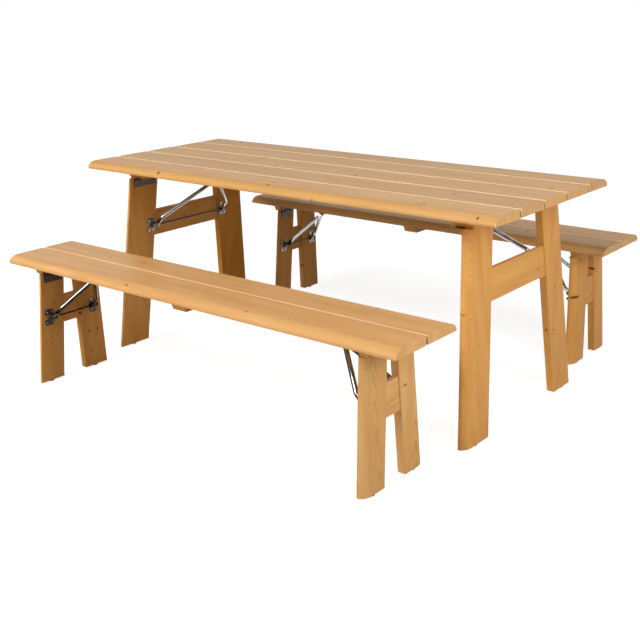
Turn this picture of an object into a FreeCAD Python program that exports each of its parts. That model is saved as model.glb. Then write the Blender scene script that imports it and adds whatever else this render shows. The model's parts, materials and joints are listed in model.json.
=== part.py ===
import FreeCAD, Part
import math
import os
from types import SimpleNamespace

from FreeCAD import Vector

# A folding wooden table with a bench along each side. Millimetres and degrees.
# X runs along the boards, Y across them and Z up. The origin is on the floor, at the middle of the set.

# Boards: all tops and legs are planed to one thickness
board_thickness = 28.0
roundover_reach = 36.0
roundover_lip = 4.0
roundover_nose = 15.0
edge_ease = 2.5

# Table top
table_length = 1800.0
table_height = 750.0
table_plank_count = 5
table_plank_width = 145.0
table_plank_gap = 8.0

# Bench seats
bench_length = 1700.0
bench_height = 468.0
bench_plank_count = 2
bench_plank_width = 148.0
bench_plank_gap = 9.0
bench_distance = 648.0

# Battens that hold the planks together: those over the legs may reach inboard of them
batten_overhang = 2.0
middle_batten_width = 60.0
middle_batten_thickness = 30.0
batten_end_lip = 6.0
table_batten_thickness = 40.0
table_batten_setback = 81.0
table_batten_inboard = 45.0
table_batten_end_reach = 26.0
bench_batten_thickness = 28.0
bench_batten_setback = 27.0
bench_batten_inboard = 0.0
bench_batten_end_reach = 10.0

# Leg boards: they splay across the top and tilt outwards along it. The inset is from the end of the top
# to the head of the leg, the foot inset from the top's long edge
table_leg_inset = 129.0
table_leg_width = 140.0
table_foot_inset = 11.0
table_splay = 5.6
table_tilt = 3.2
bench_leg_inset = 114.0
bench_leg_width = 100.0
bench_foot_inset = 1.0
bench_splay = 3.9
bench_tilt = 1.3

# Rails between the two legs of a frame, with the drop from the batten to the rail's top
rail_height = 105.0
rail_thickness = 14.0
rail_setback = 5.0
rail_tenon = 15.0
table_rail_drop = 144.0
bench_rail_drop = 98.0

# Glides under the feet
glide_diameter = 22.0
glide_height = 5.0

# Hinges between the legs and the battens. The fixed leaf is under a wide batten and beside a narrow one
hinge_leaf_thickness = 2.5
hinge_knuckle_diameter = 8.0
hinge_pin_diameter = 4.0
hinge_under_leaf = 30.0
hinge_side_leaf = 26.0
hinge_leg_leaf = 30.0
hinge_gap = 0.3
table_hinge_length = 110.0
bench_hinge_length = 78.0

# Fits
running_play = 0.05
side_play = 0.6
cheek_play = 2.0
catch_play = 0.5

# Saddle clamps that carry the cross rod on the legs, set in from the leg's inner edge
clamp_width = 38.0
clamp_height = 60.0
clamp_arch_width = 20.0
clamp_notch_margin = 3.0
clamp_sheet = 2.5
clamp_corner = 6.0
table_clamp_inset = 24.0
bench_clamp_inset = 66.0

# Braces: two bent tube arms with flattened ends on a cross rod
rod_diameter = 7.0
arm_diameter = 16.0
arm_bend_radius = 20.0
arm_pair_gap = 1.0
tongue_thickness = 4.0
tongue_width = 18.0
tongue_clearance = 3.0
tongue_length = 24.0
neck_length = 16.0
arm_straight = 8.0
arm_least_run = 0.2
table_rod_drop = 198.0
table_rod_overhang = 6.0
bench_rod_drop = 160.0
bench_rod_overhang = 10.0

# Catches under the tops
catch_sheet = 2.5
catch_wall = 12.0
catch_inboard = 30.0
catch_lip = 8.0
catch_flange = 26.0
catch_pin_overhang = 5.0

along_x = Vector(1, 0, 0)
along_y = Vector(0, 1, 0)
along_z = Vector(0, 0, 1)
# How a board's edge is worked: its reach along the board's face, its depth, and the nose radius if rounded
roundover = (roundover_reach, board_thickness - roundover_lip, roundover_nose)
eased = (edge_ease, edge_ease, 0)


def layout(length, height, count, plank_width, plank_gap, batten_thickness, batten_setback, batten_inboard,
           batten_end_reach, leg_inset, leg_width, foot_inset, splay, tilt, rail_drop, hinge_length, clamp_inset,
           rod_drop, rod_overhang):
    """Work out the levels and places of a table or bench, for its end at +X."""
    u = SimpleNamespace(length=length, height=height, count=count, plank_width=plank_width,
                        plank_gap=plank_gap, batten_thickness=batten_thickness, tilt=tilt,
                        hinge_length=hinge_length, rod_overhang=rod_overhang)
    turn = math.radians(tilt)
    u.half_width = (count * plank_width + (count - 1) * plank_gap) / 2
    u.top_underside = height - board_thickness
    u.leg_top = u.top_underside - batten_thickness
    u.batten_length = 2 * (u.half_width - batten_setback)
    u.batten_end_reach = batten_end_reach
    # A level cut through a leg, and how far it moves across and outwards for each step down
    u.leg_depth = board_thickness / math.cos(turn)
    u.leg_span = leg_width / math.cos(math.radians(splay))
    u.across_slope = math.tan(math.radians(splay))
    u.outward_slope = math.tan(turn)
    u.head_outer_x = length / 2 - leg_inset
    u.head_inner_x = u.head_outer_x - u.leg_depth
    u.batten_inner_x = u.head_inner_x - hinge_gap - batten_inboard
    u.foot_inner_y = u.half_width - foot_inset - u.leg_span
    u.rail_top = u.leg_top - rail_drop
    u.rail_bottom = u.rail_top - rail_height
    # The hinge axis is equally far from the batten and from the leg's inner face
    u.hinge_offset = hinge_knuckle_diameter / 2 + hinge_gap
    u.hinge_x = u.head_inner_x - u.hinge_offset * (1 / math.cos(turn) - u.outward_slope)
    u.hinge_z = u.leg_top - u.hinge_offset
    u.hinge_y = inner_y(u, u.leg_top) + u.leg_span / 2
    # Fittings on the leg are drawn on an upright face and then tilted about the hinge axis
    u.face_x = u.hinge_x + u.hinge_offset
    u.rod_standoff = tongue_clearance + tongue_width / 2
    u.upright_rod = Vector(u.face_x - u.rod_standoff, 0, u.hinge_z - rod_drop)
    set_in = u.rod_standoff - u.hinge_offset
    u.rod_x = u.hinge_x - set_in * math.cos(turn) + rod_drop * math.sin(turn)
    u.rod_z = u.hinge_z - set_in * math.sin(turn) - rod_drop * math.cos(turn)
    u.clamp_y = inner_y(u, u.rod_z) + clamp_inset
    u.arm_y = u.clamp_y - clamp_width / 2 - side_play - tongue_thickness / 2
    # The apex pin rests where the cross rod comes to lie when the legs are folded,
    # so the same catch holds the one or the other
    u.apex_x = u.hinge_x - rod_drop
    u.apex_z = u.hinge_z + set_in
    u.brace_length = math.hypot(u.rod_x - u.apex_x, u.apex_z - u.rod_z)
    u.brace_angle = math.degrees(math.atan2(u.rod_x - u.apex_x, u.apex_z - u.rod_z))
    return u


def inner_y(u, z):
    """Where the inner edge of the +Y leg is at a level."""
    return u.foot_inner_y - u.across_slope * z


def inner_x(u, z):
    """Where the inner face of the legs is at a level."""
    return u.head_inner_x + u.outward_slope * (u.leg_top - z)


table = layout(table_length, table_height, table_plank_count, table_plank_width, table_plank_gap,
               table_batten_thickness, table_batten_setback, table_batten_inboard, table_batten_end_reach,
               table_leg_inset, table_leg_width, table_foot_inset, table_splay, table_tilt, table_rail_drop,
               table_hinge_length, table_clamp_inset, table_rod_drop, table_rod_overhang)
bench = layout(bench_length, bench_height, bench_plank_count, bench_plank_width, bench_plank_gap,
               bench_batten_thickness, bench_batten_setback, bench_batten_inboard, bench_batten_end_reach,
               bench_leg_inset, bench_leg_width, bench_foot_inset, bench_splay, bench_tilt, bench_rail_drop,
               bench_hinge_length, bench_clamp_inset, bench_rod_drop, bench_rod_overhang)


def box(low, high):
    """A block between two opposite corners."""
    return Part.makeBox(high.x - low.x, high.y - low.y, high.z - low.z, low)


def bar_y(diameter, x, z, y_from, y_to):
    """A round bar along Y."""
    return Part.makeCylinder(diameter / 2, y_to - y_from, Vector(x, y_from, z), along_y)


def worked_edge(start, corner, end, nose):
    """A board's edge from its side to its face: a bevel, or a nose arc and a wider arc tangent to both."""
    if nose == 0:
        return [Part.makeLine(start, end)]
    reach, depth = (corner - end).Length, (corner - start).Length
    outwards, upwards = (corner - end).normalize(), (corner - start).normalize()
    wide = (reach ** 2 - 2 * reach * nose + depth ** 2) / (2 * (depth - nose))
    nose_centre, wide_centre = start - outwards * nose, end - upwards * wide
    ray = (nose_centre - wide_centre).normalize()
    joint = nose_centre + ray * nose
    nose_middle = nose_centre + (outwards + ray).normalize() * nose
    wide_middle = wide_centre + (upwards + ray).normalize() * wide
    return [Part.Arc(start, nose_middle, joint).toShape(), Part.Arc(joint, wide_middle, end).toShape()]


def board(origin, across, up, run, width, thickness, first, last):
    """A board with a section of width by thickness, extruded along run.

    first and last say how the edges at the two ends of the upper face are worked.
    """
    def at(a, b):
        return origin + across * a + up * b

    right_low, right_top = at(width, thickness - last[1]), at(width - last[0], thickness)
    left_top, left_low = at(first[0], thickness), at(0, thickness - first[1])
    edges = [
        Part.makeLine(at(0, 0), at(width, 0)),
        Part.makeLine(at(width, 0), right_low),
        Part.makeLine(right_top, left_top),
        Part.makeLine(left_low, at(0, 0)),
    ]
    edges += worked_edge(right_low, at(width, thickness), right_top, last[2])
    edges += worked_edge(left_low, at(0, thickness), left_top, first[2])
    return Part.Face(Part.Wire(Part.__sortEdges__(edges))).extrude(run)


def plank(u, index):
    """One plank of a top. The two outer ones have a wide roundover on their free edge."""
    y = -u.half_width + index * (u.plank_width + u.plank_gap)
    first = roundover if index == 0 else eased
    last = roundover if index == u.count - 1 else eased
    origin = Vector(-u.length / 2, y, u.top_underside)
    return board(origin, along_y, along_z, along_x * u.length, u.plank_width, board_thickness, first, last)


def batten(u, x_from, x_to, thickness):
    """A cross batten under a top, with its ends bevelled off below."""
    origin = Vector(x_from, -u.batten_length / 2, u.top_underside)
    run = along_x * (x_to - x_from)
    ends = (u.batten_end_reach, thickness - batten_end_lip, 0)
    return board(origin, along_y, -along_z, run, u.batten_length, thickness, ends, ends)


def middle_batten(u):
    return batten(u, -middle_batten_width / 2, middle_batten_width / 2, middle_batten_thickness)


def leg_batten(u):
    """The batten that the legs butt against. It also carries the fixed hinge leaves."""
    return batten(u, u.batten_inner_x, u.head_outer_x + batten_overhang, u.batten_thickness)


def rail(u):
    """The board between two legs, with its ends cut to the splay and let into the legs."""
    def corner(side, z):
        x = inner_x(u, z) + u.leg_depth - rail_setback - rail_thickness
        return Vector(x, side * (inner_y(u, z) + rail_tenon), z)

    low, high = u.rail_bottom, u.rail_top
    corners = [corner(-1, low), corner(1, low), corner(1, high), corner(-1, high)]
    return Part.Face(Part.makePolygon(corners + corners[:1])).extrude(along_x * rail_thickness)


def leg(u):
    """The leg board on the +Y side: leaning both ways, cut level at both ends and mortised for the rail."""
    rise = u.leg_top - glide_height
    start = Vector(inner_x(u, glide_height), inner_y(u, glide_height), glide_height)
    run = Vector(-u.outward_slope, -u.across_slope, 1) * rise
    return board(start, along_y, along_x, run, u.leg_span, u.leg_depth, eased, roundover).cut(rail(u))


def glide(u):
    """The round plastic foot under a leg."""
    centre = Vector(inner_x(u, glide_height) + u.leg_depth / 2, inner_y(u, glide_height) + u.leg_span / 2, 0)
    return Part.makeCylinder(glide_diameter / 2, glide_height, centre)


def tilted(u, shape):
    """A fitting drawn on an upright leg, turned to the leg's tilt."""
    return shape.rotated(Vector(u.hinge_x, 0, u.hinge_z), along_y, -u.tilt)


def knuckle_spans(u):
    """The Y ranges of a hinge's two outer knuckles and its middle one."""
    low, high = u.hinge_y - u.hinge_length / 2, u.hinge_y + u.hinge_length / 2
    third = u.hinge_length / 3
    outer = [(low, low + third - hinge_gap), (high - third + hinge_gap, high)]
    return outer, [(low + third, high - third)]


def top_hinge_leaf(u, plate, tab):
    """A fixed leaf: its plate, and on tabs the two outer knuckles with the pin that is fixed in them.

    plate and tab are pairs of opposite corners in X and Z.
    """
    def slab(corners, y_from, y_to):
        (low_x, low_z), (high_x, high_z) = corners
        return box(Vector(low_x, y_from, low_z), Vector(high_x, y_to, high_z))

    outer, middle = knuckle_spans(u)
    y_low, y_high = outer[0][0], outer[1][1]
    pieces = [bar_y(hinge_pin_diameter, u.hinge_x, u.hinge_z, y_low, y_high)]
    for a, b in outer:
        pieces.append(bar_y(hinge_knuckle_diameter, u.hinge_x, u.hinge_z, a, b))
        pieces.append(slab(tab, a, b))
    return slab(plate, y_low, y_high).fuse(pieces).removeSplitter()


def under_leaf(u):
    """The fixed leaf under a wide batten, inboard of the leg."""
    clear_x = u.hinge_x - u.hinge_offset
    low_z = u.leg_top - hinge_leaf_thickness
    plate = (u.hinge_x - hinge_under_leaf, low_z), (clear_x, u.leg_top)
    return top_hinge_leaf(u, plate, ((clear_x, low_z), (u.hinge_x, u.leg_top)))


def side_leaf(u):
    """The fixed leaf on the inner side of a narrow batten."""
    clear_z = u.hinge_z + u.hinge_offset
    low_x = u.batten_inner_x - hinge_leaf_thickness
    plate = (low_x, clear_z), (u.batten_inner_x, u.hinge_z + hinge_side_leaf)
    return top_hinge_leaf(u, plate, ((low_x, u.hinge_z), (u.batten_inner_x, clear_z)))


def leg_hinge_leaf(u):
    """The leaf on the leg's inner face, with the middle knuckle. It turns on the pin."""
    outer, middle = knuckle_spans(u)
    y_low, y_high = outer[0][0], outer[1][1]
    clear_z = u.hinge_z - hinge_knuckle_diameter / 2 - hinge_gap
    inside = u.face_x - hinge_leaf_thickness
    plate = box(Vector(inside, y_low, u.hinge_z - hinge_leg_leaf), Vector(u.face_x, y_high, clear_z))
    a, b = middle[0]
    tab = box(Vector(inside, a, clear_z), Vector(u.face_x, b, u.hinge_z))
    leaf = plate.fuse([tab, bar_y(hinge_knuckle_diameter, u.hinge_x, u.hinge_z, a, b)]).removeSplitter()
    bore = bar_y(hinge_pin_diameter + 2 * running_play, u.hinge_x, u.hinge_z, a, b)
    return tilted(u, leaf.cut(bore))


def clamp(u):
    """A saddle pressed from one strip: two lugs on the leg's inner face and a narrower arch round the rod."""
    inner = rod_diameter / 2 + running_play
    outer = inner + clamp_sheet
    half = clamp_height / 2
    rod_x, rod_z = u.upright_rod.x, u.upright_rod.z
    lug_x = u.face_x - clamp_sheet

    def at(x, rise):
        return Vector(x, u.clamp_y - clamp_width / 2, rod_z + rise)

    def arch(radius, side):
        return Part.Arc(at(rod_x, side * radius), at(rod_x - radius, 0), at(rod_x, -side * radius)).toShape()

    def run(*points):
        return [Part.makeLine(a, b) for a, b in zip(points, points[1:])]

    edges = run(at(u.face_x, half), at(lug_x, half), at(lug_x, outer), at(rod_x, outer))
    edges.append(arch(outer, 1))
    edges += run(at(rod_x, -outer), at(lug_x, -outer), at(lug_x, -half), at(u.face_x, -half))
    edges += run(at(u.face_x, -half), at(u.face_x, -inner), at(rod_x, -inner))
    edges.append(arch(inner, -1))
    edges += run(at(rod_x, inner), at(u.face_x, inner), at(u.face_x, half))
    strip = Part.Face(Part.Wire(edges)).extrude(along_y * clamp_width)
    ends = [edge for edge in strip.Edges if abs(edge.CenterOfMass.z - rod_z) > half - 0.01]
    corners = [edge for edge in ends if edge.BoundBox.YLength < 0.01]
    notch_low = at(rod_x - 2 * outer, -outer - clamp_notch_margin) + along_y * clamp_arch_width
    notch_high = at(u.face_x + clamp_sheet, outer + clamp_notch_margin) + along_y * 2 * clamp_width
    return tilted(u, strip.makeChamfer(clamp_corner, corners).cut(box(notch_low, notch_high)))


def flattened_end(y, z, direction):
    """A tube's end pressed flat across Y: an eye for a rod at z, a flat and a neck to the full round."""
    flat_z = z + direction * tongue_length
    round_z = flat_z + direction * neck_length
    half, thick, tube = tongue_width / 2, tongue_thickness / 2, arm_diameter / 2

    def at(x, level):
        return Vector(x, y - thick, level)

    outline = Part.Wire([
        Part.makeLine(at(half, z), at(half, flat_z)),
        Part.makeLine(at(half, flat_z), at(-half, flat_z)),
        Part.makeLine(at(-half, flat_z), at(-half, z)),
        Part.Arc(at(-half, z), at(0, z - direction * half), at(half, z)).toShape(),
    ])
    tongue = Part.Face(outline).extrude(along_y * tongue_thickness)
    tongue = tongue.cut(bar_y(rod_diameter, 0, z, y - tube, y + tube))
    corners = [Vector(-tube, y - thick, flat_z), Vector(-tube, y + thick, flat_z),
               Vector(-tube, y + tube, round_z), Vector(-tube, y - tube, round_z)]
    wedge = Part.Face(Part.makePolygon(corners + corners[:1])).extrude(along_x * arm_diameter)
    round_end = Part.makeCylinder(tube, neck_length, Vector(0, y, min(flat_z, round_z)))
    return [tongue, round_end.common(wedge)]


def bent_tube(points):
    """The straight runs of an arm's tube and the tangent bends between them.
    A bend that the runs beside it are too short for is made tighter and leaves the least run."""
    pieces = []
    start = points[0]
    for before, corner, after in zip(points, points[1:], points[2:]):
        way_in, way_out = (corner - before).normalize(), (after - corner).normalize()
        turn = way_in.getAngle(way_out)
        room = min((corner - before).Length, (after - corner).Length) - arm_least_run
        trim = min(arm_bend_radius * math.tan(turn / 2), room)
        radius = trim / math.tan(turn / 2)
        bend_from = corner - way_in * trim
        axis = way_in.cross(way_out).normalize()
        centre = bend_from + axis.cross(way_in) * radius
        section = Part.Face(Part.Wire(Part.Circle(bend_from, way_in, arm_diameter / 2).toShape()))
        pieces.append(Part.makeCylinder(arm_diameter / 2, (bend_from - start).Length, start, way_in))
        pieces.append(section.revolve(centre, axis, math.degrees(turn)))
        start = corner + way_out * trim
    last = points[-1] - start
    pieces.append(Part.makeCylinder(arm_diameter / 2, last.Length, start, last))
    return pieces


def brace_arm(u):
    """The +Y arm of the brace: from its eye on the cross rod it bends in and runs up to the apex."""
    apex_y = (arm_diameter + arm_pair_gap) / 2
    end_length = tongue_length + neck_length
    points = [
        Vector(0, u.arm_y, end_length),
        Vector(0, u.arm_y, end_length + arm_straight),
        Vector(0, apex_y, u.brace_length - end_length - arm_straight),
        Vector(0, apex_y, u.brace_length - end_length),
    ]
    ends = flattened_end(u.arm_y, 0, 1) + flattened_end(apex_y, u.brace_length, -1)
    tube = bent_tube(points)
    arm = tube[0].fuse(tube[1:] + ends)
    arm.rotate(Vector(0, 0, 0), along_y, -u.brace_angle)
    arm.translate(Vector(u.rod_x, 0, u.rod_z))
    return arm


def cheek_y():
    """The distance of a catch's cheeks from the middle, clear of the two arm ends between them."""
    return arm_diameter + arm_pair_gap / 2 + cheek_play


def brace_rods(u):
    """The cross rod in the clamps and the short apex pin in the catch."""
    reach = u.clamp_y - clamp_width / 2 + clamp_arch_width + u.rod_overhang
    pin_reach = cheek_y() + catch_sheet + catch_pin_overhang
    return [bar_y(rod_diameter, u.rod_x, u.rod_z, -reach, reach),
            bar_y(rod_diameter, u.apex_x, u.apex_z, -pin_reach, pin_reach)]


def catch(u):
    """A bent sheet bracket under the top: two hooked cheeks with a corner seat for the apex pin."""
    seat = rod_diameter / 2 + catch_play
    inboard, outboard = u.apex_x - catch_inboard, u.apex_x + seat + catch_wall
    ceiling, lip = u.apex_z + seat, u.apex_z - catch_lip
    reach = cheek_y() + catch_sheet

    def at(x, z):
        return Vector(x, 0, z)

    corner_out, corner_in = at(u.apex_x + seat, u.apex_z), at(u.apex_x, ceiling)
    corner_mid = at(u.apex_x + seat * math.sqrt(0.5), u.apex_z + seat * math.sqrt(0.5))
    outline = Part.Wire([
        Part.makeLine(at(inboard, u.top_underside), at(outboard, u.top_underside)),
        Part.makeLine(at(outboard, u.top_underside), at(outboard, lip + catch_wall / 2)),
        Part.makeLine(at(outboard, lip + catch_wall / 2), at(outboard - catch_wall / 2, lip)),
        Part.makeLine(at(outboard - catch_wall / 2, lip), at(u.apex_x + seat, lip)),
        Part.makeLine(at(u.apex_x + seat, lip), corner_out),
        Part.Arc(corner_out, corner_mid, corner_in).toShape(),
        Part.makeLine(corner_in, at(inboard, ceiling)),
        Part.makeLine(at(inboard, ceiling), at(inboard, u.top_underside)),
    ])
    cheek = Part.Face(outline).extrude(along_y * catch_sheet)
    cheeks = [cheek.translated(along_y * y) for y in (cheek_y(), -reach)]
    low = Vector(inboard, -reach - catch_flange, u.top_underside - catch_sheet)
    plate = box(low, Vector(outboard, reach + catch_flange, u.top_underside))
    return plate.fuse(cheeks).removeSplitter()


def across(shape):
    """The mirror image of a shape on the other long side."""
    return shape.mirror(Vector(0, 0, 0), along_y)


def both_sides(shape):
    return [shape, across(shape)]


def at_end(shape, end):
    """A shape made for the +X end, at the right end or mirrored to the left one."""
    return shape if end == "right" else shape.mirror(Vector(0, 0, 0), along_x)


def group(shapes):
    return shapes[0] if len(shapes) == 1 else Part.makeCompound(shapes)


def at_both_ends(shapes):
    return group([at_end(shape, end) for end in ("left", "right") for shape in shapes])


def table_nodes():
    nodes = {}
    for index in range(table.count):
        nodes[f"table_plank_{index + 1}"] = plank(table, index)
    nodes["table_batten_middle"] = middle_batten(table)
    nodes["table_top_hinge_leaves"] = at_both_ends(both_sides(under_leaf(table)))
    nodes["table_catches"] = at_both_ends([catch(table)])
    for end in ("left", "right"):
        pieces = {
            "batten": [leg_batten(table)],
            "leg_front": [across(leg(table))],
            "leg_back": [leg(table)],
            "rail": [rail(table)],
            "leg_hinge_leaves": both_sides(leg_hinge_leaf(table)),
            "clamps": both_sides(clamp(table)),
            "glides": both_sides(glide(table)),
            "arm_front": [across(brace_arm(table))],
            "arm_back": [brace_arm(table)],
            "rods": brace_rods(table),
        }
        for name, shapes in pieces.items():
            nodes[f"table_{name}_{end}"] = group([at_end(shape, end) for shape in shapes])
    return nodes


def bench_nodes(name, y):
    nodes = {}
    for index in range(bench.count):
        nodes[f"{name}_plank_{index + 1}"] = plank(bench, index)
    leg_battens = [at_end(leg_batten(bench), end) for end in ("left", "right")]
    nodes[f"{name}_battens"] = group(leg_battens + [middle_batten(bench)])
    nodes[f"{name}_top_hinge_leaves"] = at_both_ends(both_sides(side_leaf(bench)))
    nodes[f"{name}_catches"] = at_both_ends([catch(bench)])
    for end in ("left", "right"):
        pieces = {
            "legs": both_sides(leg(bench)),
            "rail": [rail(bench)],
            "fittings": both_sides(leg_hinge_leaf(bench)) + both_sides(clamp(bench)),
            "glides": both_sides(glide(bench)),
            "brace": both_sides(brace_arm(bench)) + brace_rods(bench),
        }
        for piece, shapes in pieces.items():
            nodes[f"{name}_{piece}_{end}"] = group([at_end(shape, end) for shape in shapes])
    return {node: shape.translated(along_y * y) for node, shape in nodes.items()}


os.makedirs("parts", exist_ok=True)
all_nodes = table_nodes()
all_nodes.update(bench_nodes("front_bench", -bench_distance))
all_nodes.update(bench_nodes("back_bench", bench_distance))
for node, shape in all_nodes.items():
    shape.exportStep(f"parts/{node}.step")
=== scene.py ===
import json
import math
from types import SimpleNamespace

import bmesh
import bpy
from mathutils import Euler, Matrix, Vector


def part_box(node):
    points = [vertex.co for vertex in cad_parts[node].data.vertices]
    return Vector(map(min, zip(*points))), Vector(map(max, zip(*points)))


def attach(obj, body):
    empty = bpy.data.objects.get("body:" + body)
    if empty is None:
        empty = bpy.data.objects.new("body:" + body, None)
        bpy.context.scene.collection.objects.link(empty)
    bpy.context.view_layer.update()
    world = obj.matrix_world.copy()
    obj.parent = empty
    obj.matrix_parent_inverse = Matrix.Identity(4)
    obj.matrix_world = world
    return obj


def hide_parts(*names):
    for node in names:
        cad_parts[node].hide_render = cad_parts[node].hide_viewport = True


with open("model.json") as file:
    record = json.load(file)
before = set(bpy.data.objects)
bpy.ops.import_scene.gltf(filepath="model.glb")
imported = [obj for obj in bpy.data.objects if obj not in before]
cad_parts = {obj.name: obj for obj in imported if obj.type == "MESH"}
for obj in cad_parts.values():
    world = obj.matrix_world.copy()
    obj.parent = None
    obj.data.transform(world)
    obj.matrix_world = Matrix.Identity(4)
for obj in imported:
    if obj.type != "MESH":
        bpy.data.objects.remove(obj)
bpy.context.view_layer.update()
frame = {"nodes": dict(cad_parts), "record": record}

MM = 0.001

# Board edges are eased by hand with sandpaper, sheet steel is only deburred.
wood_ease = 0.8 * MM
plank_ease = 1.6 * MM
steel_ease = 0.25 * MM
weld_distance = 0.002 * MM
flat_angle = math.radians(0.5)
sharp_angle = math.radians(40)
large_face_weight = 80

# Lean of the legs, across the set and along it.
table_splay = math.radians(5.6)
table_tilt = math.radians(3.2)
bench_splay = math.radians(3.9)
bench_tilt = math.radians(1.3)

# Sockets of a Mix node that mixes colours, and the range that most of a noise's values lie in.
mix_factor, mix_a, mix_b = 0, 6, 7
mix_result = 2
noise_low, noise_high = 0.3, 0.7

body_of_node = {
    node: body
    for body, nodes in frame["record"]["behaviour"]["bodies"].items()
    for node in nodes}


def linear(code):
    """Linear colour of an sRGB hex value, by the standard's curve."""
    channels = [int(code[i:i + 2], 16) / 255 for i in (0, 2, 4)]
    return [c / 12.92 if c <= 0.04045 else ((c + 0.055) / 1.055) ** 2.4 for c in channels] + [1.0]


def add(tree, kind, inputs=None, stops=None, **settings):
    """Adds a node with its settings; inputs are values or sockets, stops are a ramp's colours."""
    node = tree.nodes.new(kind)
    for key, value in settings.items():
        setattr(node, key, value)
    for key, value in (inputs or {}).items():
        if isinstance(value, bpy.types.NodeSocket):
            tree.links.new(value, node.inputs[key])
        else:
            node.inputs[key].default_value = value
    for number, (place, code) in enumerate(stops or []):
        while len(node.color_ramp.elements) <= number:
            node.color_ramp.elements.new(1.0)
        node.color_ramp.elements[number].position = place
        node.color_ramp.elements[number].color = linear(code)
    return node


def new_material(name):
    """An empty node material and its tree."""
    material = bpy.data.materials.new(name)
    material.use_nodes = True
    material.node_tree.nodes.clear()
    return material, material.node_tree


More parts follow.
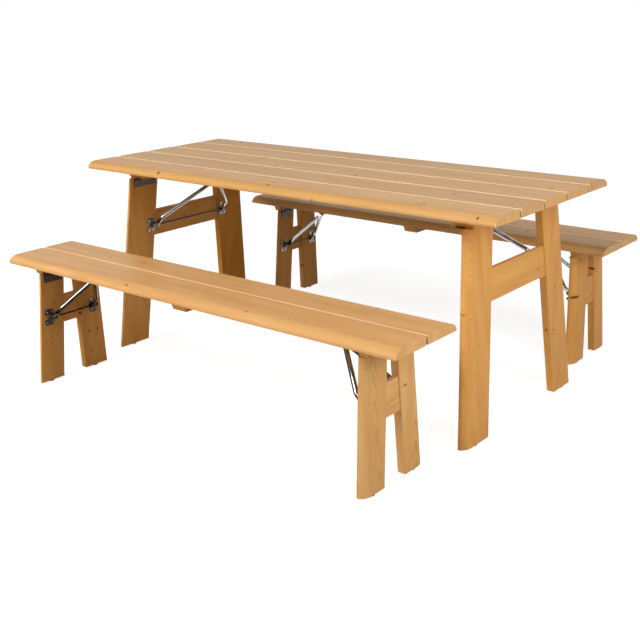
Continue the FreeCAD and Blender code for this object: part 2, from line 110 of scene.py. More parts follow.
def lacquered_spruce(name, turn, place, tint, tones, lines, clear, sheen):
    """Planed spruce under clear lacquer: pale early wood, darker late wood lines that drift along
    the board, fine fibre streaks, small brown knots with a red rim, and a soft sheen.
    turn brings the grain to X and the board's face to Z, place then sets the pith, tint is a
    brightness, tones are the wood's colours from dark to pale, lines is how strong the late wood
    shows, clear is the share of patches without a knot and sheen is the lacquer's refractive index.
    """
    material, tree = new_material(name)
    spot = add(tree, "ShaderNodeTexCoord").outputs["Object"]
    board = add(tree, "ShaderNodeMapping", {
        "Vector": spot, "Rotation": turn, "Location": place}).outputs[0]

    # Knots run out from the pith and widen on the way, one at most in each patch of the log. They
    # are 1 to 5 mm in radius. Their sizes and soft borders are in lengths of a patch.
    patch_length = 75 * MM
    patches_round = 5.0
    smallest_knot, largest_knot = 0.016, 0.062
    heart_outside, heart_inside = -0.004, 0.014
    rim_outside, rim_inside = -0.06, 0.004
    spread = add(tree, "ShaderNodeSeparateXYZ", {"Vector": board}).outputs
    angle = add(tree, "ShaderNodeMath", {
        0: spread["Y"], 1: spread["Z"]}, operation="ARCTAN2").outputs[0]
    along = add(tree, "ShaderNodeMath", {
        0: spread["X"], 1: patch_length}, operation="DIVIDE").outputs[0]
    around = add(tree, "ShaderNodeMath", {
        0: angle, 1: patches_round / math.tau}, operation="MULTIPLY").outputs[0]
    unrolled = add(tree, "ShaderNodeCombineXYZ", {"X": along, "Y": around}).outputs[0]
    cells = add(tree, "ShaderNodeTexVoronoi", {
        "Vector": unrolled, "Scale": 1.0, "Randomness": 1.0}, voronoi_dimensions="2D")
    chance = add(tree, "ShaderNodeSeparateColor", {"Color": cells.outputs["Color"]}).outputs[0]
    size = add(tree, "ShaderNodeMapRange", {
        "Value": chance, "From Min": clear, "From Max": 1.0,
        "To Min": smallest_knot, "To Max": largest_knot}).outputs[0]
    closeness = add(tree, "ShaderNodeMath", {
        0: size, 1: cells.outputs["Distance"]}, operation="SUBTRACT").outputs[0]
    real = add(tree, "ShaderNodeMath", {0: chance, 1: clear}, operation="GREATER_THAN").outputs[0]
    heart = add(tree, "ShaderNodeMapRange", {
        "Value": closeness, "From Min": heart_outside, "From Max": heart_inside, "To Max": real},
        interpolation_type="SMOOTHSTEP").outputs[0]
    rim = add(tree, "ShaderNodeMapRange", {
        "Value": closeness, "From Min": rim_outside, "From Max": rim_inside, "To Max": real},
        interpolation_type="SMOOTHSTEP").outputs[0]

    # Rings 5 mm apart, the coarse end of spruce, so that they show. They wander by about 10 mm in
    # half a metre and swell round a knot. Late wood darkens slowly and ends sharply.
    ring_step = 5 * MM
    ring_wander = 34 * MM
    knot_swell = 4 * MM
    drift_scale = (1.6, 9.0, 9.0)
    late_start, late_peak = 0.35, 0.92
    drift_place = add(tree, "ShaderNodeMapping", {
        "Vector": board, "Scale": drift_scale}).outputs[0]
    drift = add(tree, "ShaderNodeTexNoise", {
        "Vector": drift_place, "Scale": 1.0, "Detail": 2.0}).outputs[0]
    section = add(tree, "ShaderNodeVectorMath", {
        0: board, 1: (0.0, 1.0, 1.0)}, operation="MULTIPLY").outputs[0]
    radius = add(tree, "ShaderNodeVectorMath", {0: section}, operation="LENGTH").outputs["Value"]
    wander = add(tree, "ShaderNodeMath", {
        0: drift, 1: ring_wander, 2: radius}, operation="MULTIPLY_ADD").outputs[0]
    pushed = add(tree, "ShaderNodeMath", {
        0: rim, 1: knot_swell, 2: wander}, operation="MULTIPLY_ADD").outputs[0]
    years = add(tree, "ShaderNodeMath", {0: pushed, 1: ring_step}, operation="DIVIDE").outputs[0]
    season = add(tree, "ShaderNodeMath", {0: years}, operation="FRACT").outputs[0]
    darkening = add(tree, "ShaderNodeMapRange", {
        "Value": season, "From Min": late_start, "From Max": late_peak},
        interpolation_type="SMOOTHSTEP").outputs[0]
    ending = add(tree, "ShaderNodeMapRange", {
        "Value": season, "From Min": 1.0, "From Max": late_peak},
        interpolation_type="SMOOTHSTEP").outputs[0]
    late = add(tree, "ShaderNodeMath", {0: darkening, 1: ending}, operation="MULTIPLY").outputs[0]

    # Fibres about 1.5 mm wide and 90 mm long, and broad pale and warm clouds along the board.
    fibre_scale = (11.0, 640.0, 640.0)
    cloud_scale = (2.2, 26.0, 26.0)
    fibre_place = add(tree, "ShaderNodeMapping", {
        "Vector": board, "Scale": fibre_scale}).outputs[0]
    fibre = add(tree, "ShaderNodeTexNoise", {
        "Vector": fibre_place, "Scale": 1.0, "Detail": 3.0}).outputs[0]
    cloud_place = add(tree, "ShaderNodeMapping", {
        "Vector": board, "Scale": cloud_scale}).outputs[0]
    cloud = add(tree, "ShaderNodeTexNoise", {
        "Vector": cloud_place, "Scale": 1.0, "Detail": 4.0}).outputs[0]

    tone_places = (0.22, 0.5, 0.8)
    late_colour, rim_colour, heart_colour = "A4642A", "B4692F", "6E3C1C"
    dark_streak, pale_streak = 0.945, 1.05
    rim_strength = 0.55
    body = add(tree, "ShaderNodeValToRGB", {"Fac": cloud}, stops=list(zip(tone_places, tones)))
    grain = add(tree, "ShaderNodeMath", {0: late, 1: lines}, operation="MULTIPLY").outputs[0]
    lined = add(tree, "ShaderNodeMix", {
        mix_factor: grain, mix_a: body.outputs[0], mix_b: linear(late_colour)},
        data_type="RGBA").outputs[mix_result]
    streak = add(tree, "ShaderNodeMapRange", {
        "Value": fibre, "From Min": noise_low, "From Max": noise_high,
        "To Min": dark_streak, "To Max": pale_streak}).outputs[0]
    shade = add(tree, "ShaderNodeMath", {0: streak, 1: tint}, operation="MULTIPLY").outputs[0]
    streaked = add(tree, "ShaderNodeMix", {
        mix_factor: 1.0, mix_a: lined, mix_b: shade},
        data_type="RGBA", blend_type="MULTIPLY").outputs[mix_result]
    halo = add(tree, "ShaderNodeMath", {0: rim, 1: rim_strength}, operation="MULTIPLY").outputs[0]
    ringed = add(tree, "ShaderNodeMix", {
        mix_factor: halo, mix_a: streaked, mix_b: linear(rim_colour)},
        data_type="RGBA").outputs[mix_result]
    knotted = add(tree, "ShaderNodeMix", {
        mix_factor: heart, mix_a: ringed, mix_b: linear(heart_colour)},
        data_type="RGBA").outputs[mix_result]

    # The lacquer follows the fibres and the raised late wood.
    smoothest, roughest = 0.31, 0.43
    late_rise = 0.5
    relief_height = 0.15 * MM
    gloss = add(tree, "ShaderNodeMapRange", {
        "Value": fibre, "From Min": 0.25, "From Max": 0.75,
        "To Min": smoothest, "To Max": roughest}).outputs[0]
    relief = add(tree, "ShaderNodeMath", {
        0: late, 1: late_rise, 2: fibre}, operation="MULTIPLY_ADD").outputs[0]
    bump = add(tree, "ShaderNodeBump", {
        "Height": relief, "Strength": 0.25, "Distance": relief_height}).outputs[0]
    shader = add(tree, "ShaderNodeBsdfPrincipled", {
        "Base Color": knotted, "Roughness": gloss, "Normal": bump, "IOR": sheen})
    add(tree, "ShaderNodeOutputMaterial", {"Surface": shader.outputs[0]})
    return material


def bright_zinc():
    """Bright zinc plating on drawn tube: a smooth cool metal, nearly a mirror."""
    material, tree = new_material("bright zinc plated steel")
    cloud_size = 25 * MM
    smoothest, roughest = 0.09, 0.15
    spot = add(tree, "ShaderNodeTexCoord").outputs["Object"]
    cloud = add(tree, "ShaderNodeTexNoise", {
        "Vector": spot, "Scale": 1 / cloud_size, "Detail": 3.0}).outputs[0]
    colour = add(tree, "ShaderNodeValToRGB", {"Fac": cloud}, stops=[
        (noise_low, "B4B6B8"), (noise_high, "CCCED0")])
    gloss = add(tree, "ShaderNodeMapRange", {
        "Value": cloud, "From Min": noise_low, "From Max": noise_high,
        "To Min": smoothest, "To Max": roughest}).outputs[0]
    shader = add(tree, "ShaderNodeBsdfPrincipled", {
        "Base Color": colour.outputs[0], "Metallic": 1.0, "Roughness": gloss})
    add(tree, "ShaderNodeOutputMaterial", {"Surface": shader.outputs[0]})
    return material


def galvanized_screw():
    """Galvanized screw heads: a pale blue-white metal, slightly frosted."""
    material, tree = new_material("galvanized screw steel")
    frost_size = 2 * MM
    spot = add(tree, "ShaderNodeTexCoord").outputs["Object"]
    frost = add(tree, "ShaderNodeTexNoise", {
        "Vector": spot, "Scale": 1 / frost_size, "Detail": 2.0}).outputs[0]
    colour = add(tree, "ShaderNodeValToRGB", {"Fac": frost}, stops=[
        (noise_low, "C2C5C8"), (noise_high, "DDDFE1")])
    shader = add(tree, "ShaderNodeBsdfPrincipled", {
        "Base Color": colour.outputs[0], "Metallic": 1.0, "Roughness": 0.28})
    add(tree, "ShaderNodeOutputMaterial", {"Surface": shader.outputs[0]})
    return material


def burnished_steel(name, dark, light, dull):
    """Burnished steel, brown-black from its oil bath: a soft oily gloss with dull clouds. On the
    rods the brown-black is partly a painted reflection of the wood. dark and light are the clouds'
    colours, dull is the mean roughness."""
    material, tree = new_material(name)
    cloud_size = 11 * MM
    gloss_spread = 0.06
    spot = add(tree, "ShaderNodeTexCoord").outputs["Object"]
    cloud = add(tree, "ShaderNodeTexNoise", {
        "Vector": spot, "Scale": 1 / cloud_size, "Detail": 4.0}).outputs[0]
    colour = add(tree, "ShaderNodeValToRGB", {"Fac": cloud}, stops=[
        (noise_low, dark), (noise_high, light)])
    gloss = add(tree, "ShaderNodeMapRange", {
        "Value": cloud, "From Min": noise_low, "From Max": noise_high,
        "To Min": dull - gloss_spread, "To Max": dull + gloss_spread}).outputs[0]
    shader = add(tree, "ShaderNodeBsdfPrincipled", {
        "Base Color": colour.outputs[0], "Metallic": 0.9, "Roughness": gloss})
    add(tree, "ShaderNodeOutputMaterial", {"Surface": shader.outputs[0]})
    return material


def moulded_polyethylene():
    """Black moulded polyethylene glides: matt, slightly scuffed grey."""
    material, tree = new_material("moulded polyethylene")
    scuffs_per_metre = 300.0
    spot = add(tree, "ShaderNodeTexCoord").outputs["Object"]
    scuff = add(tree, "ShaderNodeTexNoise", {
        "Vector": spot, "Scale": scuffs_per_metre, "Detail": 4.0}).outputs[0]
    colour = add(tree, "ShaderNodeValToRGB", {"Fac": scuff}, stops=[
        (0.35, "1B1A19"), (0.75, "3A3836")])
    shader = add(tree, "ShaderNodeBsdfPrincipled", {
        "Base Color": colour.outputs[0], "Roughness": 0.55})
    add(tree, "ShaderNodeOutputMaterial", {"Surface": shader.outputs[0]})
    return material


def show(piece, node):
    """A finished piece stands for its node, whose part it hides, and rides on its body."""
    bpy.context.scene.collection.objects.link(piece)
    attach(piece, body_of_node[node])
    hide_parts(node)


def finished(node, name, ease, steps=2):
    """A copy of a node's surface, its facets welded and its sharp edges eased, shaded smooth."""
    shape = bmesh.new()
    shape.from_mesh(frame["nodes"][node].data)
    bmesh.ops.remove_doubles(shape, verts=shape.verts, dist=weld_distance)
    bmesh.ops.dissolve_limit(
        shape, angle_limit=flat_angle, verts=shape.verts, edges=shape.edges)
    sharp = [edge for edge in shape.edges if edge.calc_face_angle(0.0) > sharp_angle]
    bmesh.ops.bevel(
        shape, geom=sharp, offset=ease, offset_type="OFFSET", affect="EDGES", segments=steps,
        profile=0.5, material=-1, clamp_overlap=True)
    for face in shape.faces:
        face.smooth = True
    mesh = bpy.data.meshes.new(name)
    shape.to_mesh(mesh)
    shape.free()
    piece = bpy.data.objects.new(name, mesh)
    piece.modifiers.new("even shading", "WEIGHTED_NORMAL").weight = large_face_weight
    return piece


def repaint(piece, material, is_picked):
    """Gives a second material to the faces that is_picked picks."""
    piece.data.materials.append(material)
    for face in piece.data.polygons:
        face.material_index = 1 if is_picked(face) else 0


# Turns that bring a board's grain to X and its wide face to Z.
along_x = (0.0, 0.0, 0.0)
along_y_flat = (0.0, 0.0, -math.pi / 2)
along_y_upright = (0.0, math.pi / 2, -math.pi / 2)


def along_leg(splay, tilt, front, left):
    """The same turn for a leaning leg."""
    return (-splay if front else splay, math.pi / 2 + (tilt if left else -tilt), 0.0)


# Planks are the paler boards with a satin lacquer, the frame is of warmer boards with a thinner
# coat. The planks' edges by the gaps are pale from sanding and from a painted highlight.
satin, thin_coat = 1.28, 1.14
top_wood = dict(tones=("D49C5B", "DDA866", "E6B475"), lines=0.1, clear=0.88, sheen=satin)
front_wood = dict(top_wood, clear=0.62)
seat_wood = dict(top_wood, tones=("DCA161", "E5AE6D", "EEBA7D"))
# Sanded edge woods: pale from sanding, with a painted highlight along the gaps.
sanded_highlight_wood = dict(top_wood, tones=("ECC692", "F2D1A2", "F6DCB6"), clear=1.0)
seat_sanded_highlight_wood = dict(sanded_highlight_wood, tones=("EBBE88", "F2C896", "F6D2A6"))
frame_wood = dict(tones=("DF9E54", "EAAA5D", "F2B96C"), lines=0.14, clear=0.74, sheen=thin_coat)
pale_frame_wood = dict(frame_wood, tones=("E0A968", "EAB573", "F2C483"), lines=0.26)
# A frame wood with painted shade: darker and warmer, for the shade under the table top.
painted_shade_frame_wood = dict(frame_wood, tones=("D48F3A", "DF9A40", "E7A84B"))

# Boards of another wood than their kind's.
board_woods = {
    "table_plank_1": front_wood,
    # The back left leg takes the painted shade, for the table top's shadow over it.
    "table_leg_back_left": painted_shade_frame_wood,
    "front_bench_plank_1": seat_wood,
    "front_bench_plank_2": seat_wood,
    "front_bench_legs_right": pale_frame_wood,
    "front_bench_rail_right": pale_frame_wood}

# Each board is cut from another place in the log, in metres, and is a little paler or darker.
log_step = 0.83
pith_across = (0.021, -0.034, 0.012, -0.052, 0.043)
pith_depth = (0.046, 0.072, 0.035, 0.061)
board_tint = (1.0, 0.955, 1.03, 0.98, 1.015, 0.94, 1.0)


def board_material(node, turn, number, low=None, high=None, wood=None):
    """The wood of a node, or of the board between two corners: its pith lies below or beside it."""
    if low is None:
        low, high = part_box(node)
    centre = Euler(turn).to_matrix() @ ((low + high) / 2)
    place = (-centre.x + log_step * number,
             -centre.y + pith_across[number % len(pith_across)],
             -centre.z + pith_depth[number % len(pith_depth)])
    tint = board_tint[number % len(board_tint)]
    wood = wood or board_woods.get(node, top_wood if "plank" in node else frame_wood)
    return lacquered_spruce(
        "lacquered spruce " + node.replace("_", " "), turn, place, tint, **wood)


# An eased edge's faces lie close to a plank's long side, are narrow, and slant. Their pale wood is
# sanding and a painted highlight.
edge_reach = 4 * MM
edge_width = 1.4 * MM
least_slant, most_slant = 0.15, 0.97
upright = 0.3


def is_sanded_highlight_edge(face, node):
    """Whether a plank's face belongs to an eased edge beside a gap, on the top or on the end."""
    low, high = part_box(node)
    from_long_side = min(face.center.y - low.y, high.y - face.center.y)
    is_narrow = face.area < edge_width * (high.x - low.x)
    on_top = least_slant < face.normal.z < most_slant
    on_end = least_slant < abs(face.normal.x) < most_slant and abs(face.normal.z) < upright
    return from_long_side < edge_reach and is_narrow and (on_top or on_end)


single_boards = ("plank", "batten", "rail", "_leg_front", "_leg_back")
boards = 0
for node in frame["nodes"]:
    left = node.endswith("left")
    if any(word in node for word in single_boards):
        is_plank = "plank" in node
        piece = finished(node, node + "_board", plank_ease if is_plank else wood_ease, steps=3)
        if is_plank:
            turn = along_x
        elif "batten" in node:
            turn = along_y_flat
        elif "rail" in node:
            turn = along_y_upright
        else:
            turn = along_leg(table_splay, table_tilt, "front" in node, left)
        piece.data.materials.append(board_material(node, turn, boards))
        if is_plank:
            # The eased edges take a paler wood: sanding, and a painted highlight for the light they
            # catch.
            edges = seat_sanded_highlight_wood if "bench" in node else sanded_highlight_wood
            repaint(piece, board_material(node, turn, boards, wood=edges),
                    lambda face: is_sanded_highlight_edge(face, node))
        show(piece, node)
        boards += 1
    elif "_legs_" in node:
        piece = finished(node, node + "_boards", wood_ease)
        low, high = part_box(node)
        middle = (low.y + high.y) / 2
        for front in (True, False):
            turn = along_leg(bench_splay, bench_tilt, front, left)
            half_low = Vector((low.x, low.y if front else middle, low.z))
            half_high = Vector((high.x, middle if front else high.y, high.z))
            piece.data.materials.append(board_material(node, turn, boards, half_low, half_high))
            boards += 1
        for face in piece.data.polygons:
            face.material_index = 0 if face.center.y < middle else 1
        show(piece, node)

zinc = bright_zinc()
screw_steel = galvanized_screw()
hinge_steel = burnished_steel("burnished hinge steel", "4A3F37", "66594E", 0.42)
clamp_steel = burnished_steel("burnished clamp steel", "635D55", "898278", 0.32)
# The cross rods' brown-black tone is partly a painted reflection of the wooden legs and rail.
rod_steel_painted_reflection = burnished_steel("burnished rod steel", "4B423B", "5F554C", 0.3)
leaf_screw_steel = burnished_steel("burnished screw steel", "6E665E", "8C847B", 0.36)
polyethylene = moulded_polyethylene()

# The fittings' places at the right end of the table and of a bench, in millimetres. The leg's inner
# face and what sits on it are given upright, and lean by the tilt about the hinge's axis.
table = SimpleNamespace(
    tilt=table_tilt, hinge_x=738.89, hinge_y=230.294, hinge_z=677.7, hinge_length=110,
    leg_face=743.19, clamp_y=203.806, rod_z=479.7, arm_y=182.206, rod_reach=210.806,
    rest_rod=(742.255, 479.579), apex=(540.89, 685.4),
    underside=722, batten_depth=40, batten_x=716,
    batten_screws=(-40, 40, 108, 150, -108, -150), middle_screws=(-248, -153, 0, 153, 248))
bench = SimpleNamespace(
    tilt=bench_tilt, hinge_x=703.789, hinge_y=73.297, hinge_z=407.7, hinge_length=78,
    leg_face=708.089, clamp_y=100.391, rod_z=247.7, arm_y=78.791, rod_reach=111.391,
    rest_rod=(699.721, 247.566), apex=(543.789, 415.4),
    underside=440, batten_depth=28, batten_x=722, batten_face=707.693,
    batten_screws=(-14, 14), middle_screws=(-72, 72))
bench_distance = 648
middle_batten_depth = 30
sheet = 2.5
rod_radius = 3.5
rod_margin = 0.1
pin_reach = 26
below_hinge = 60


def is_rod(face):
    """Whether a bench brace's face belongs to its cross rod or its apex pin."""
    return any(
        math.hypot(abs(face.center.x) - x * MM, face.center.z - z * MM)
        < (rod_radius + rod_margin) * MM
        for x, z in (bench.rest_rod, bench.apex))


def is_clamp(face):
    """Whether a bench fitting's face belongs to a clamp, well below the hinges."""
    return face.center.z < (bench.hinge_z - below_hinge) * MM


# Words in a node's name, the ending of its piece's name, its material and its slot.
finishes = (
    (("_arm_", "_brace_"), "_steel", zinc, "zinc_steel"),
    (("_rods_",), "_steel", rod_steel_painted_reflection, "zinc_steel"),
    (("clamps", "catches"), "_steel", clamp_steel, "dark_steel"),
    (("hinge", "fittings"), "_steel", hinge_steel, "dark_steel"),
    (("glides",), "_plastic", polyethylene, "glide_plastic"))
for node in frame["nodes"]:
    for words, ending, material, slot in finishes:
        if any(word in node for word in words):
            piece = finished(node, node + ending, steel_ease)
            piece.data.materials.append(material)
            if "_brace_" in node:
                repaint(piece, rod_steel_painted_reflection, is_rod)
            elif "fittings" in node:
                repaint(piece, clamp_steel, is_clamp)
            show(piece, node)
            break


def face_number(face):
    """A number that a pattern's other faces don't have, from the numbers of its corners."""
    corners = [corner.index for corner in face.verts]
    return sum(index ** 2 for index in corners) + max(corners) / 1000


def pattern(name, shape):
    """A mesh to be stamped many times, its faces sorted so that each run has them in one order."""
    shape.verts.index_update()
    shape.faces.sort(key=face_number)
    mesh = bpy.data.meshes.new(name)
    shape.to_mesh(mesh)
    shape.free()
    return mesh


def cross_head(radius, height):
    """A screw's head on the XY plane, facing Z: a low cone with a cross recess in its top."""
    top_radius = 0.72 * radius
    border = 0.12 * radius
    cross_reach = 0.62 * radius
    cross_half_width = 0.13 * radius
    cross_depth = 0.5 * height
    facing_up = 0.9

    def inner_faces():
        return [face for face in head.faces if face.normal.z > facing_up
                and max(v.co.xy.length for v in face.verts) < cross_reach]

    head = bmesh.new()
    bmesh.ops.create_cone(
        head, cap_ends=True, segments=12, radius1=radius, radius2=top_radius, depth=height,
        matrix=Matrix.Translation((0, 0, height / 2)))
    for face in head.faces:
        face.smooth = abs(face.normal.z) < facing_up
    top = [face for face in head.faces if face.normal.z > facing_up]
    bmesh.ops.inset_region(head, faces=top, thickness=border)
    for way in (Vector((1, 0, 0)), Vector((0, 1, 0))):
        for side in (-cross_half_width, cross_half_width):
            region = list({
                item for face in inner_faces()
                for item in list(face.verts) + list(face.edges) + [face]})
            bmesh.ops.bisect_plane(head, geom=region, plane_co=way * side, plane_no=way)
    centres = [(face, face.calc_center_median()) for face in inner_faces()]
    recess = [face for face, centre in centres
              if min(abs(centre.x), abs(centre.y)) < cross_half_width]
    pressed = bmesh.ops.extrude_face_region(head, geom=recess)["geom"]
    bmesh.ops.translate(
        head, verts=[item for item in pressed if isinstance(item, bmesh.types.BMVert)],
        vec=(0, 0, -cross_depth))
    return pattern("screw head", head)


def domed_cap(radius, height):
    """A pressed cap or rivet head on the XY plane, domed towards Z."""
    cap = bmesh.new()
    bmesh.ops.create_uvsphere(cap, u_segments=20, v_segments=12, radius=radius)
    cut = bmesh.ops.bisect_plane(
        cap, geom=cap.verts[:] + cap.edges[:] + cap.faces[:], plane_co=(0, 0, 0),
        plane_no=(0, 0, 1), clear_inner=True)["geom_cut"]
    bmesh.ops.scale(cap, vec=(1, 1, height / radius), verts=cap.verts)
    for face in cap.faces:
        face.smooth = True
    bmesh.ops.edgenet_fill(
        cap, edges=[item for item in cut if isinstance(item, bmesh.types.BMEdge)])
    bmesh.ops.recalc_face_normals(cap, faces=cap.faces)
    return pattern("domed cap", cap)


def washer(inside, outside, thickness):
    """A flat ring on the XY plane."""
    ring = bmesh.new()
    corners = [ring.verts.new(place) for place in (
        (inside, 0, 0), (outside, 0, 0), (outside, 0, thickness), (inside, 0, thickness))]
    section = ring.faces.new(corners)
    bmesh.ops.spin(
        ring, geom=list(section.edges), axis=(0, 0, 1), cent=(0, 0, 0), angle=math.tau, steps=28,
        use_merge=True)
    bmesh.ops.delete(ring, geom=[section], context="FACES_ONLY")
    bmesh.ops.recalc_face_normals(ring, faces=ring.faces)
    return pattern("washer", ring)


def stamped(name, body, material, copies):
    """One piece made of copies of patterns, each put in its place by a matrix in millimetres."""
    shape = bmesh.new()
    for mesh, place in copies:
        first = len(shape.verts)
        shape.from_mesh(mesh)
        shape.verts.ensure_lookup_table()
        bmesh.ops.transform(
            shape, matrix=Matrix.Scale(MM, 4) @ place, verts=shape.verts[first:])
    mesh = bpy.data.meshes.new(name)
    shape.to_mesh(mesh)
    shape.free()
    mesh.materials.append(material)
    piece = bpy.data.objects.new(name, mesh)
    bpy.context.scene.collection.objects.link(piece)
    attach(piece, body)


pan_head = cross_head(radius=4.0, height=2.4)
flat_head = cross_head(radius=3.0, height=0.7)
wood_screw = cross_head(radius=4.2, height=0.8)
rivet_head = domed_cap(radius=5.5, height=3.0)
push_cap = domed_cap(radius=6.0, height=4.0)
rod_washer = washer(inside=3.6, outside=7.5, thickness=1.0)

to_inboard = Matrix.Rotation(-math.pi / 2, 4, "Y")
to_floor = Matrix.Rotation(math.pi, 4, "X")
screw_turn = 0.9


def at(x, y, z):
    """A move to a place in millimetres."""
    return Matrix.Translation((x, y, z))


def spun(number):
    """Each screw stops at another angle."""
    return Matrix.Rotation(screw_turn * number, 4, "Z")


def facing_side(way):
    """From Z to the +Y or -Y side."""
    return Matrix.Rotation(-way * math.pi / 2, 4, "X")


# Screws of a hinge's leaves: columns in shares of its length, rows in distances from its axis.
hinge_columns = (-0.38, -0.13, 0.13, 0.38)
hinge_rows = (22, 12.5)
top_leaf_spin = 3
bench_leaf_drop = 2

# Screws of a clamp's plate from its middle, of a catch from the apex pin, and of a middle batten.
clamp_screws = ((-11, -19.5), (11, -19.5), (-11, 19.5), (11, 19.5))
catch_screws = (-21, 8)
catch_screw_y = 34
middle_screw_x = (-15, 15)
middle_skew = 1.2

# How far caps and rivets reach over the ends they sit on, and washers sit from an arm's middle.
cap_overlap = 2
rivet_overlap = 0.5
washer_gap = 2.3

for name, unit, offset in (("table", table, 0), ("front_bench", bench, -bench_distance),
                           ("back_bench", bench, bench_distance)):
    top = "table_top" if name == "table" else name + "_seat"
    set_in = at(0, offset, 0)
    axis = at(unit.hinge_x, 0, unit.hinge_z)
    lean = axis @ Matrix.Rotation(-unit.tilt, 4, "Y") @ axis.inverted()
    leg_x = unit.leg_face - sheet
    batten_z = unit.underside - unit.batten_depth
    rod_x, rod_z = unit.rest_rod
    apex_x, apex_z = unit.apex
    top_copies = []
    for end, half_turn in (("right", 0.0), ("left", math.pi)):
        to_end = set_in @ Matrix.Rotation(half_turn, 4, "Z")
        to_leg = to_end @ lean
        leg_copies = []
        leaf_copies = []
        brace_copies = []
        for side in (-1, 1):
            for number, across in enumerate(hinge_columns):
                y = side * (unit.hinge_y + across * unit.hinge_length)
                row = hinge_rows[number % 2]
                leg_place = at(leg_x, y, unit.hinge_z - row)
                leaf_copies.append((flat_head, to_leg @ leg_place @ to_inboard @ spun(number)))
                if unit is table:
                    top_place = at(unit.hinge_x - row, y, batten_z - sheet) @ to_floor
                else:
                    leaf_z = unit.hinge_z + row - bench_leaf_drop
                    top_place = at(unit.batten_face - sheet, y, leaf_z) @ to_inboard
                top_copies.append((flat_head, to_end @ top_place @ spun(number + top_leaf_spin)))
            for number, (across, rise) in enumerate(clamp_screws):
                place = at(leg_x, side * (unit.clamp_y + across), unit.rod_z + rise)
                leg_copies.append((pan_head, to_leg @ place @ to_inboard @ spun(number)))
            for mesh, way, x, y, z in (
                    (push_cap, side, rod_x, unit.rod_reach - cap_overlap, rod_z),
                    (rod_washer, -side, rod_x, unit.arm_y - washer_gap, rod_z),
                    (rivet_head, side, apex_x, pin_reach - rivet_overlap, apex_z)):
                place = at(x, side * y, z) @ facing_side(way)
                brace_copies.append((mesh, to_end @ place))
            for number, along in enumerate(catch_screws):
                place = at(apex_x + along, side * catch_screw_y, unit.underside - sheet)
                top_copies.append((pan_head, to_end @ place @ to_floor @ spun(number)))
        for number, y in enumerate(unit.batten_screws):
            place = at(unit.batten_x, y, batten_z)
            top_copies.append((wood_screw, to_end @ place @ to_floor @ spun(number)))
        for kind, body, material, slot, copies in (
                ("leg_screws", "legs", screw_steel, "zinc_steel", leg_copies),
                ("leaf_screws", "legs", leaf_screw_steel, "dark_steel", leaf_copies),
                ("rod_ends", "brace", rod_steel_painted_reflection, "zinc_steel", brace_copies)):
            stamped(f"{name}_{kind}_{end}", f"{name}_{body}_{end}", material, copies)
    for number, y in enumerate(unit.middle_screws):
        for x in middle_screw_x:
            place = at(x, y + middle_skew * x, unit.underside - middle_batten_depth)
            top_copies.append((wood_screw, set_in @ place @ to_floor @ spun(number + x)))
    stamped(f"{name}_top_screws", top, screw_steel, top_copies)


def studio_floor():
    """White paper that stays near white to the camera and keeps a faint soft shadow. Steel mirrors
    it white behind the table's middle, and in the dark room's shade in front of it."""
    material, tree = new_material("white paper floor")
    near, far = 2.5, 7.0
    near_glow, far_glow = 0.86, 1.0
    shade_edge, white_edge = -0.2, 0.05
    path = add(tree, "ShaderNodeLightPath")
    spot = add(tree, "ShaderNodeTexCoord").outputs["Object"]
    distance = add(tree, "ShaderNodeVectorMath", {0: spot}, operation="LENGTH").outputs["Value"]
    level = add(tree, "ShaderNodeMapRange", {
        "Value": distance, "From Min": near, "From Max": far,
        "To Min": near_glow, "To Max": far_glow}).outputs[0]
    across = add(tree, "ShaderNodeSeparateXYZ", {"Vector": spot}).outputs["Y"]
    behind = add(tree, "ShaderNodeMapRange", {
        "Value": across, "From Min": shade_edge, "From Max": white_edge,
        "To Min": 0.0, "To Max": 1.0}).outputs[0]
    paper = add(tree, "ShaderNodeBsdfDiffuse", {"Color": linear("C4C2BE")})
    faint = add(tree, "ShaderNodeBsdfDiffuse", {"Color": linear("B3B2B0")})
    glow = add(tree, "ShaderNodeEmission", {"Color": linear("FFFFFF"), "Strength": level})
    lit = add(tree, "ShaderNodeAddShader", {0: faint.outputs[0], 1: glow.outputs[0]})
    shade = add(tree, "ShaderNodeBsdfDiffuse", {"Color": linear("4A4947")})
    shine = add(tree, "ShaderNodeMath", {
        0: path.outputs["Is Glossy Ray"], 1: path.outputs["Is Transmission Ray"]},
        operation="MAXIMUM").outputs[0]
    mirrored = add(tree, "ShaderNodeMixShader", {
        0: behind, 1: shade.outputs[0], 2: lit.outputs[0]})
    direct = add(tree, "ShaderNodeMixShader", {
        0: path.outputs["Is Camera Ray"], 1: paper.outputs[0], 2: lit.outputs[0]})
    floor_look = add(tree, "ShaderNodeMixShader", {
        0: shine, 1: direct.outputs[0], 2: mirrored.outputs[0]})
    add(tree, "ShaderNodeOutputMaterial", {"Surface": floor_look.outputs[0]})
    return material


floor_reach = 30.0
floor_shape = bmesh.new()
bmesh.ops.create_grid(floor_shape, x_segments=1, y_segments=1, size=floor_reach)
floor_mesh = bpy.data.meshes.new("floor")
floor_shape.to_mesh(floor_mesh)
floor_shape.free()
floor = bpy.data.objects.new("floor", floor_mesh)
floor_mesh.materials.append(studio_floor())
bpy.context.scene.collection.objects.link(floor)


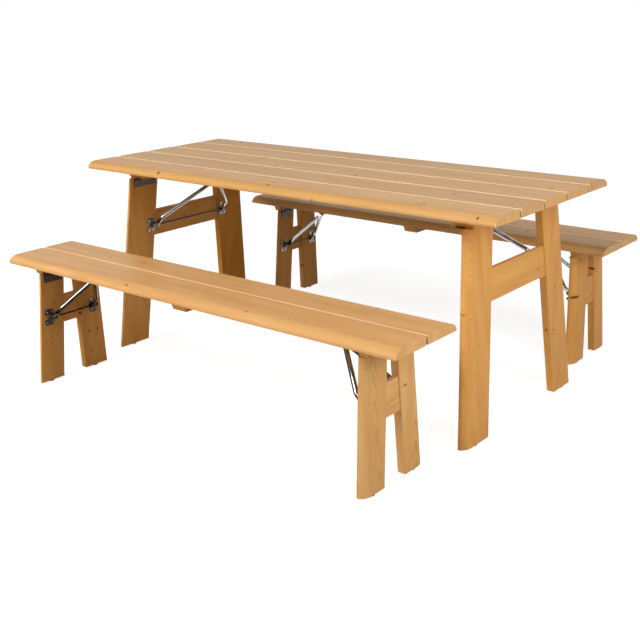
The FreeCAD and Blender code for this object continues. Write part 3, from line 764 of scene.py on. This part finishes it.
def white_studio():
    """A white cove all round for the camera. Metal and lacquer mirror it too, but also the dark
    room above it and at the photographer's side, with a bright reflector. It lights nothing else.
    """
    world = bpy.data.worlds.new("white studio")
    world.use_nodes = True
    tree = world.node_tree
    tree.nodes.clear()
    room_glow = 0.07
    to_photographer = (0.63, -0.77, 0.0)
    cove_side, room_side = -0.8, -0.55
    cove_top, room_bottom = 0.28, 0.5
    to_reflector = (0.253, -0.888, 0.364)
    reflector_border, reflector_middle = 0.88, 0.93
    reflector_glow = 1.6

    path = add(tree, "ShaderNodeLightPath").outputs
    way = add(tree, "ShaderNodeTexCoord").outputs["Generated"]
    frontwards = add(tree, "ShaderNodeVectorMath", {
        0: way, 1: to_photographer}, operation="DOT_PRODUCT").outputs["Value"]
    upwards = add(tree, "ShaderNodeSeparateXYZ", {"Vector": way}).outputs["Z"]
    behind = add(tree, "ShaderNodeMapRange", {
        "Value": frontwards, "From Min": cove_side, "From Max": room_side,
        "To Min": 1.0, "To Max": room_glow}).outputs[0]
    low = add(tree, "ShaderNodeMapRange", {
        "Value": upwards, "From Min": cove_top, "From Max": room_bottom,
        "To Min": 1.0, "To Max": room_glow}).outputs[0]
    closeness = add(tree, "ShaderNodeVectorMath", {
        0: way, 1: to_reflector}, operation="DOT_PRODUCT").outputs["Value"]
    reflector = add(tree, "ShaderNodeMapRange", {
        "Value": closeness, "From Min": reflector_border, "From Max": reflector_middle,
        "To Min": 0.0, "To Max": reflector_glow}).outputs[0]
    room = add(tree, "ShaderNodeMath", {0: behind, 1: low}, operation="MINIMUM").outputs[0]
    room = add(tree, "ShaderNodeMath", {0: room, 1: reflector}, operation="MAXIMUM").outputs[0]
    white = add(tree, "ShaderNodeMath", {
        0: room, 1: path["Is Camera Ray"]}, operation="MAXIMUM").outputs[0]
    shine = add(tree, "ShaderNodeMath", {
        0: path["Is Glossy Ray"], 1: path["Is Transmission Ray"]}, operation="MAXIMUM").outputs[0]
    seen = add(tree, "ShaderNodeMath", {
        0: shine, 1: path["Is Camera Ray"]}, operation="MAXIMUM").outputs[0]
    strength = add(tree, "ShaderNodeMath", {0: white, 1: seen}, operation="MULTIPLY").outputs[0]
    backdrop = add(tree, "ShaderNodeBackground", {
        "Color": linear("FFFFFF"), "Strength": strength})
    add(tree, "ShaderNodeOutputWorld", {"Surface": backdrop.outputs[0]})
    return world


bpy.context.scene.world = white_studio()


def soft_box(name, azimuth, elevation, power, aim=(0.0, 0.0, 0.4), distance=6.0, size=2.2):
    """A large square soft light, turned round from the set's front and raised from the floor."""
    lamp = bpy.data.lights.new(name, "AREA")
    lamp.shape = "SQUARE"
    lamp.size = size
    lamp.energy = power
    turn, rise = math.radians(azimuth), math.radians(elevation)
    way = Vector((math.cos(rise) * math.sin(turn), -math.cos(rise) * math.cos(turn),
                  math.sin(rise)))
    lamp_object = bpy.data.objects.new(name, lamp)
    lamp_object.location = Vector(aim) + way * distance
    lamp_object.rotation_euler = (-way).to_track_quat("-Z", "Y").to_euler()
    bpy.context.scene.collection.objects.link(lamp_object)


at_right_end = dict(aim=(0.85, -0.2, 0.4), distance=3.0, size=1.4)
soft_box("front key light", azimuth=-15, elevation=42, power=208)
soft_box("low front light", azimuth=-15, elevation=18, power=70)
soft_box("high left light", azimuth=-30, elevation=68, power=26)
soft_box("back light", azimuth=165, elevation=32, power=30)
soft_box("left light", azimuth=280, elevation=25, power=30)
soft_box("right light", azimuth=80, elevation=40, power=28, **at_right_end)
soft_box("low right light", azimuth=80, elevation=20, power=38, **at_right_end)

# The photograph's viewpoint: camera direction, roll, aim point, focal length in pixels and optical
# centre.
image_size = 640
view_azimuth = math.radians(39.29827)
view_elevation = math.radians(13.84971)
view_roll = math.radians(-1.09378)
view_aim = Vector((-0.79419, 0.90323, 0.18829))
view_distance = 5.0
focal_pixels = 1017.6
optical_column = 318.4
optical_row = 240

back = Vector((math.sin(view_azimuth) * math.cos(view_elevation),
               -math.cos(view_azimuth) * math.cos(view_elevation), math.sin(view_elevation)))
level_right = (-back).cross(Vector((0, 0, 1))).normalized()
level_up = level_right.cross(-back)
right = level_right * math.cos(view_roll) + level_up * math.sin(view_roll)
up = -level_right * math.sin(view_roll) + level_up * math.cos(view_roll)
lens = bpy.data.cameras.new("camera")
lens.sensor_width = 36.0
lens.lens = focal_pixels / image_size * lens.sensor_width
lens.shift_x = (image_size / 2 - optical_column) / image_size
lens.shift_y = (optical_row - image_size / 2) / image_size
lens.clip_end = 200.0
camera = bpy.data.objects.new("camera", lens)
camera.matrix_world = Matrix.Translation(view_aim + back * view_distance) @ Matrix(
    (right, up, back)).transposed().to_4x4()
bpy.context.scene.collection.objects.link(camera)
bpy.context.scene.camera = camera

bpy.context.scene.view_settings.view_transform = "Standard"
